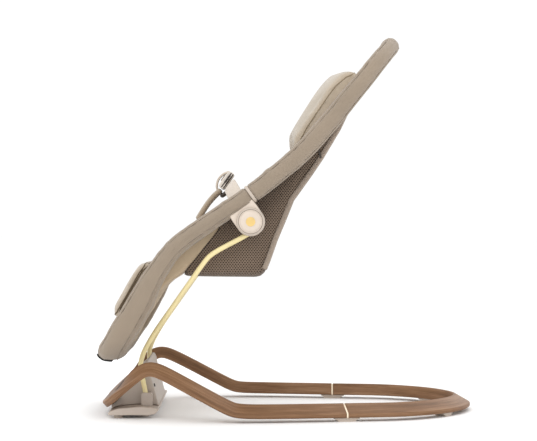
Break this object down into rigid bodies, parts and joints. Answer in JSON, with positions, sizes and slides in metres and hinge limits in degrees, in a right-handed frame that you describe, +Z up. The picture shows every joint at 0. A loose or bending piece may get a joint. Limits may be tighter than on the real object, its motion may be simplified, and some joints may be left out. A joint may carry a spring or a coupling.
{
  "type": "bouncer seat",
  "caption": "Reclining baby bouncer: a padded sling seat on a tube frame, hinged at side hubs to springy rods that rise from a housing on a bent wood floor loop.",
  "frame": {"origin": "middle of the object's box, on the floor, with the seat at its most upright position", "axes": "+X towards the child's head and the wood loop's round nose, +Y towards the child's right side, +Z up"},
  "size_m": [0.6566, 0.4246, 0.6562],
  "materials": {
    "wood": "satin lacquer over bent beech",
    "ring": "satin",
    "steel": "plain",
    "housing": "fine texture",
    "tray": "fine texture",
    "foot": "matt",
    "rod": "semi-gloss powder coat",
    "hub": "satin",
    "core": "plain",
    "bolster": "stretch jersey over foam",
    "pillow": "soft jersey over filling",
    "mesh": "knitted spacer mesh",
    "binding": "woven tape",
    "panel": "plain weave over thin foam",
    "liner": "soft jersey over thin foam",
    "webbing": "woven webbing",
    "buckle": "satin",
    "dark_plastic": "satin",
    "dark_rubber": "matt"
  },
  "bodies": {
    "base": {"base_front_rail": "wood", "base_rear_rail": "wood", "splice_ring_left": "ring", "splice_ring_right": "ring", "splice_dowel_left": "steel", "splice_dowel_right": "steel", "splice_foot_left": "foot", "splice_foot_right": "foot", "rear_foot_left": "foot", "rear_foot_right": "foot", "front_foot_left": "foot", "front_foot_right": "foot", "middle_foot_left": "foot", "middle_foot_right": "foot", "housing_tray": "tray", "housing_cover": "housing", "rod_socket_left": "tray", "rod_socket_right": "tray", "cover_screw_left": "dark_plastic", "cover_screw_right": "dark_plastic"},
    "rods": {"index_plate_left": "steel", "index_plate_right": "steel", "pivot_bolt_left": "steel", "pivot_bolt_right": "steel", "pivot_nut_left": "steel", "pivot_nut_right": "steel", "spring_rod_left": "rod", "spring_rod_right": "rod", "hub_core_left": "core", "hub_core_right": "core"},
    "seat": {"button_spring_left": "steel", "button_spring_right": "steel", "frame_tube_upper": "steel", "frame_tube_lower": "steel", "seat_bracket_left": "hub", "seat_bracket_right": "hub", "hub_bezel_left": "hub", "hub_bezel_right": "hub", "bolster_upper": "bolster", "bolster_lower": "bolster", "leg_pad": "bolster", "head_pillow": "pillow", "mesh_bucket": "mesh", "back_binding": "binding", "leg_panel": "panel", "crotch_strap": "panel", "seat_liner": "liner", "webbing_loop": "webbing", "waist_belt_left": "webbing", "waist_belt_right": "webbing", "buckle_body": "buckle", "buckle_tongue_left": "dark_plastic", "buckle_tongue_right": "dark_plastic", "buckle_pad": "dark_plastic", "zip_pull": "dark_plastic", "foot_bumper": "dark_rubber"},
    "hub_button_left": {"hub_button_left": "hub"},
    "hub_button_right": {"hub_button_right": "hub"},
    "buckle_button": {"buckle_button": "buckle"}
  },
  "joints": [
    {"name": "bounce", "type": "hinge", "parent": "base", "child": "rods", "pos_m": [-0.24432, 0, 0.031], "axis": [0, 1, 0], "range_deg": [-3, 8], "stiffness_Nm_per_rad": 150, "springref_deg": -2.17},
    {"name": "recline", "type": "hinge", "parent": "rods", "child": "seat", "pos_m": [-0.06632, 0, 0.335], "axis": [0, 1, 0], "range_deg": [0, 22.2]},
    {"name": "left_button_press", "type": "slide", "parent": "seat", "child": "hub_button_left", "axis": [0, 1, 0], "range_m": [0, 0.0024], "stiffness_N_per_m": 900, "springref_m": -0.0006},
    {"name": "right_button_press", "type": "slide", "parent": "seat", "child": "hub_button_right", "axis": [0, -1, 0], "range_m": [0, 0.0024], "stiffness_N_per_m": 900, "springref_m": -0.0006},
    {"name": "buckle_press", "type": "slide", "parent": "seat", "child": "buckle_button", "axis": [0.809, 0, -0.5878], "range_m": [0, 0.002], "stiffness_N_per_m": 900, "springref_m": -0.0006}
  ]
}
